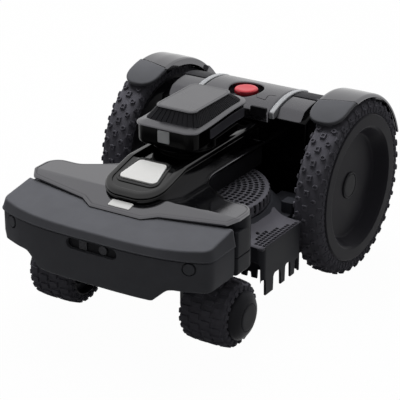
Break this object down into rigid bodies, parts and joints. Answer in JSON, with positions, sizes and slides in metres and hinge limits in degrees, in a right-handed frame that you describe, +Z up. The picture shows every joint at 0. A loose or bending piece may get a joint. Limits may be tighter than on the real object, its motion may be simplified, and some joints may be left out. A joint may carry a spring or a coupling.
{
  "type": "robotic lawn mower",
  "caption": "Wheeled robotic lawn mower with large rear wheels under fenders, steered front wheels, a floating bumper, a lift-off navigation unit and a round cutting deck.",
  "frame": {"origin": "ground point under the middle of the overall box", "axes": "+X to the mower's left, +Y to its rear, +Z up; the front faces -Y"},
  "size_m": [0.454, 0.6619, 0.3458],
  "materials": {
    "gloss_black": "high gloss black",
    "cover_grey": "satin dark grey",
    "silver_trim": "satin",
    "red_button": "satin red",
    "tyre": "moulded rubber",
    "rim_black": "satin black",
    "cap_grey": "satin",
    "steel": "brushed",
    "motor_metal": "cast and machined",
    "knuckle_metal": "black anodised",
    "shell_grey": "fine texture dark grey",
    "bumper_grey": "fine texture grey",
    "dark_plastic": "satin black",
    "contact_metal": "brushed",
    "white_plate": "white, bare",
    "battery": "matte",
    "board": "green laminate"
  },
  "bodies": {
    "chassis": {"rear_housing": "gloss_black", "belly_plate": "dark_plastic", "centre_cover": "cover_grey", "strip_left": "silver_trim", "strip_right": "silver_trim", "side_cover_left": "cover_grey", "side_cover_right": "cover_grey", "fender_left": "gloss_black", "fender_right": "gloss_black", "fender_cap_left": "cover_grey", "fender_cap_right": "cover_grey", "rear_motors": "motor_metal", "steer_motors": "motor_metal", "front_tub": "shell_grey", "front_shroud": "shell_grey", "front_cover": "gloss_black", "name_plate": "white_plate", "spine_shell": "gloss_black", "badge_bezel": "gloss_black", "badge_plate": "white_plate", "chassis_beam": "dark_plastic", "battery_pack": "battery", "control_board": "board", "drum": "shell_grey", "deck_left": "shell_grey", "deck_right": "shell_grey", "grille": "dark_plastic", "guide_rods": "steel"},
    "rear_wheel_left": {"rear_tyre_left": "tyre", "rear_rim_left": "rim_black", "rear_hub_cap_left": "cap_grey", "rear_axle_left": "steel"},
    "rear_wheel_right": {"rear_tyre_right": "tyre", "rear_rim_right": "rim_black", "rear_hub_cap_right": "cap_grey", "rear_axle_right": "steel"},
    "steering_left": {"knuckle_left": "knuckle_metal"},
    "steering_right": {"knuckle_right": "knuckle_metal"},
    "front_wheel_left": {"front_tyre_left": "tyre", "front_hub_left": "rim_black", "front_cap_left": "cap_grey"},
    "front_wheel_right": {"front_tyre_right": "tyre", "front_hub_right": "rim_black", "front_cap_right": "cap_grey"},
    "bumper": {"bumper_cap": "bumper_grey", "bumper_skirt": "bumper_grey", "bumper_plugs": "dark_plastic", "contact_block": "dark_plastic", "charge_contacts": "contact_metal"},
    "stop_button": {"stop_button": "red_button"},
    "navigation_unit": {"unit_body": "gloss_black", "unit_flange": "cover_grey", "unit_skirt": "dark_plastic", "unit_lid": "cover_grey", "unit_labels": "white_plate"},
    "cutter_carriage": {"cutter_carriage": "knuckle_metal", "cutting_motor": "motor_metal"},
    "cutter": {"blade_disc": "dark_plastic", "blades": "steel"}
  },
  "joints": [
    {"name": "rear_wheel_left_spin", "type": "hinge", "parent": "chassis", "child": "rear_wheel_left", "pos_m": [0.199, 0.171, 0.16], "axis": [1, 0, 0], "continuous": true},
    {"name": "rear_wheel_right_spin", "type": "hinge", "parent": "chassis", "child": "rear_wheel_right", "pos_m": [-0.199, 0.171, 0.16], "axis": [1, 0, 0], "continuous": true},
    {"name": "steering_left_turn", "type": "hinge", "parent": "chassis", "child": "steering_left", "pos_m": [0.1515, -0.189, 0.14], "axis": [0, 0, 1], "range_deg": [-35, 35]},
    {"name": "front_wheel_left_spin", "type": "hinge", "parent": "steering_left", "child": "front_wheel_left", "pos_m": [0.1515, -0.189, 0.058], "axis": [1, 0, 0], "continuous": true},
    {"name": "steering_right_turn", "type": "hinge", "parent": "chassis", "child": "steering_right", "pos_m": [-0.1515, -0.189, 0.14], "axis": [0, 0, 1], "range_deg": [-35, 35]},
    {"name": "front_wheel_right_spin", "type": "hinge", "parent": "steering_right", "child": "front_wheel_right", "pos_m": [-0.1515, -0.189, 0.058], "axis": [1, 0, 0], "continuous": true},
    {"name": "bumper_press", "type": "slide", "parent": "chassis", "child": "bumper", "axis": [0, 1, 0], "range_m": [0, 0.006], "stiffness_N_per_m": 1500, "springref_m": -0.001},
    {"name": "stop_press", "type": "slide", "parent": "chassis", "child": "stop_button", "axis": [0, 0, -1], "range_m": [0, 0.004], "stiffness_N_per_m": 900, "springref_m": -0.002},
    {"name": "unit_lift", "type": "slide", "parent": "chassis", "child": "navigation_unit", "axis": [0, 0, 1], "range_m": [0, 0.06]},
    {"name": "cut_height", "type": "slide", "parent": "chassis", "child": "cutter_carriage", "axis": [0, 0, -1], "range_m": [0, 0.04]},
    {"name": "cutter_spin", "type": "hinge", "parent": "cutter_carriage", "child": "cutter", "pos_m": [0, -0.045, 0.089], "axis": [0, 0, 1], "continuous": true}
  ]
}
